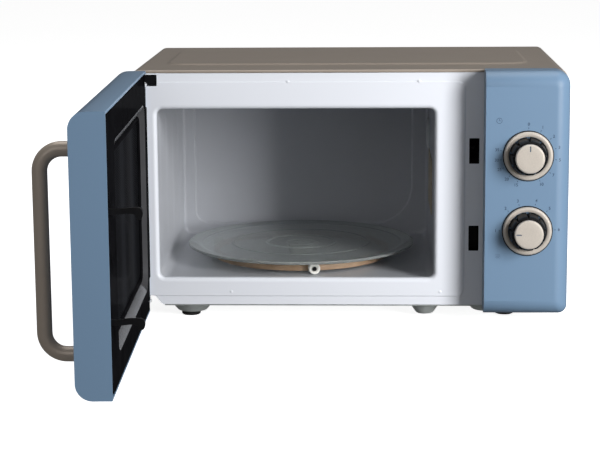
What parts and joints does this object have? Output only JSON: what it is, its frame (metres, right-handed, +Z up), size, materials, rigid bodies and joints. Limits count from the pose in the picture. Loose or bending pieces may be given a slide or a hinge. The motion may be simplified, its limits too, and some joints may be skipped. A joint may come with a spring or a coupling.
{
  "type": "microwave oven",
  "caption": "Compact countertop microwave oven with two dials, a side-hinged door with a tube handle, glass turntable on a roller ring and inner works.",
  "frame": {"origin": "middle of the footprint on the floor with the door standing open at rest", "axes": "+X to the right seen from the front, +Y to the back, +Z up"},
  "size_m": [0.4823, 0.6252, 0.2595],
  "materials": {
    "cabinet_paint": "satin metallic taupe stove enamel",
    "white_enamel": "gloss white-grey epoxy enamel",
    "door_blue": "gloss dusty-blue moulded plastic",
    "black_gloss": "gloss black moulded plastic",
    "black_matte": "matte black moulded plastic",
    "door_glass": "dark tinted window",
    "window_film": "clear dark protective sheet",
    "turntable_glass": "clear tempered glass",
    "champagne": "satin champagne metal",
    "handle_metal": "satin metallic taupe",
    "galvanised": "galvanised sheet",
    "base_steel": "grey coated sheet",
    "bright_metal": "bright plated steel",
    "dark_steel": "laminated core steel",
    "rubber": "matte rubber",
    "white_plastic": "natural white moulding",
    "tan_plastic": "tan heat-proof moulding",
    "winding": "lacquered winding wire",
    "mica": "silvery mica sheet",
    "board": "circuit board"
  },
  "bodies": {
    "cabinet": {"cabinet_cover": "cabinet_paint", "front_plate": "white_enamel", "cavity_liner": "white_enamel", "base_plate": "base_steel", "foot_front_left": "rubber", "foot_front_right": "rubber", "foot_rear_left": "rubber", "foot_rear_right": "rubber", "rear_panel": "galvanised", "cord_gland": "black_matte", "upper_hinge": "bright_metal", "lower_hinge": "bright_metal", "control_panel": "door_blue", "timer_bezel": "champagne", "power_bezel": "champagne", "timer_unit": "galvanised", "timer_bell": "bright_metal", "power_selector": "black_matte", "latch_bracket": "black_matte", "primary_switch": "black_matte", "secondary_switch": "black_matte", "monitor_switch": "black_matte", "turntable_motor": "galvanised", "mica_cover": "mica", "waveguide": "galvanised", "magnetron": "galvanised", "transformer_core": "dark_steel", "transformer_coil": "winding", "capacitor": "bright_metal", "capacitor_clamp": "galvanised", "high_voltage_diode": "black_matte", "fan_shroud": "galvanised", "fan_motor": "dark_steel", "cavity_lamp": "white_plastic", "filter_board": "board", "mains_fuse": "bright_metal", "thermal_cutout": "black_matte"},
    "door": {"door_frame": "door_blue", "door_glass": "door_glass", "choke_frame": "galvanised", "window_film": "window_film", "choke_cover": "black_gloss", "door_handle": "handle_metal", "latch_spring": "bright_metal"},
    "latch": {"latch_hooks": "black_gloss"},
    "timer_knob": {"timer_knob_grip": "black_gloss", "timer_knob_cap": "champagne"},
    "power_knob": {"power_knob_grip": "black_gloss", "power_knob_cap": "champagne"},
    "turntable": {"turntable_plate": "turntable_glass", "drive_coupler": "white_plastic"},
    "roller_ring": {"roller_ring": "tan_plastic"},
    "roller_wheel_1": {"roller_wheel_1": "white_plastic"},
    "roller_wheel_2": {"roller_wheel_2": "white_plastic"},
    "roller_wheel_3": {"roller_wheel_3": "white_plastic"},
    "fan": {"fan_blade": "black_matte"},
    "interlock_lever": {"interlock_lever": "white_plastic"},
    "primary_plunger": {"primary_plunger": "white_plastic"},
    "secondary_plunger": {"secondary_plunger": "white_plastic"},
    "monitor_plunger": {"monitor_plunger": "white_plastic"}
  },
  "joints": [
    {"name": "door_hinge", "type": "hinge", "parent": "cabinet", "child": "door", "pos_m": [-0.18876, 0.03232, 0.136], "axis": [0, 0, 1], "range_deg": [-7, 88.5]},
    {"name": "latch_slide", "type": "slide", "parent": "door", "child": "latch", "axis": [0, 0, 1], "range_m": [0, 0.005], "stiffness_N_per_m": 300, "springref_m": -0.003, "deforming": ["latch_spring"]},
    {"name": "timer_turn", "type": "hinge", "parent": "cabinet", "child": "timer_knob", "pos_m": [0.19944, -0.00368, 0.1754], "axis": [0, 1, 0], "range_deg": [0, 290]},
    {"name": "power_turn", "type": "hinge", "parent": "cabinet", "child": "power_knob", "pos_m": [0.19944, -0.00368, 0.1], "axis": [0, 1, 0], "range_deg": [0, 180]},
    {"name": "turntable_spin", "type": "hinge", "parent": "cabinet", "child": "turntable", "pos_m": [-0.03271, 0.17032, 0.05], "axis": [0, 0, 1], "continuous": true},
    {"name": "roller_ring_spin", "type": "hinge", "parent": "cabinet", "child": "roller_ring", "pos_m": [-0.03271, 0.17032, 0.05], "axis": [0, 0, 1], "continuous": true},
    {"name": "roller_wheel_1_spin", "type": "hinge", "parent": "roller_ring", "child": "roller_wheel_1", "pos_m": [-0.01543, 0.07233, 0.0482], "axis": [0.1736, -0.9848, 0], "continuous": true},
    {"name": "roller_wheel_2_spin", "type": "hinge", "parent": "roller_ring", "child": "roller_wheel_2", "pos_m": [0.04351, 0.23428, 0.0482], "axis": [0.766, 0.6428, 0], "continuous": true},
    {"name": "roller_wheel_3_spin", "type": "hinge", "parent": "roller_ring", "child": "roller_wheel_3", "pos_m": [-0.12621, 0.20435, 0.0482], "axis": [-0.9397, 0.342, 0], "continuous": true},
    {"name": "fan_spin", "type": "hinge", "parent": "cabinet", "child": "fan", "pos_m": [0.17824, 0.26632, 0.15], "axis": [0, 1, 0], "continuous": true},
    {"name": "lever_press", "type": "hinge", "parent": "cabinet", "child": "interlock_lever", "pos_m": [0.14794, 0.06932, 0.096], "axis": [1, 0, 0], "range_deg": [0, 4], "stiffness_Nm_per_rad": 0.15, "springref_deg": -1.72},
    {"name": "primary_press", "type": "slide", "parent": "cabinet", "child": "primary_plunger", "axis": [0, 1, 0], "range_m": [0, 0.002], "stiffness_N_per_m": 150, "springref_m": -0.001},
    {"name": "secondary_press", "type": "slide", "parent": "cabinet", "child": "secondary_plunger", "axis": [0, 1, 0], "range_m": [0, 0.00084]},
    {"name": "monitor_press", "type": "slide", "parent": "cabinet", "child": "monitor_plunger", "axis": [0, 1, 0], "range_m": [0, 0.00196]}
  ],
  "couplings": [
    {"joint": "roller_ring_spin", "follows": "turntable_spin", "ratio": 0.5},
    {"joint": "roller_wheel_1_spin", "follows": "turntable_spin", "ratio": -8.1557},
    {"joint": "roller_wheel_2_spin", "follows": "turntable_spin", "ratio": -8.1557},
    {"joint": "roller_wheel_3_spin", "follows": "turntable_spin", "ratio": -8.1557},
    {"joint": "secondary_press", "follows": "lever_press", "m_per_rad": 0.012},
    {"joint": "monitor_press", "follows": "lever_press", "m_per_rad": 0.028}
  ]
}
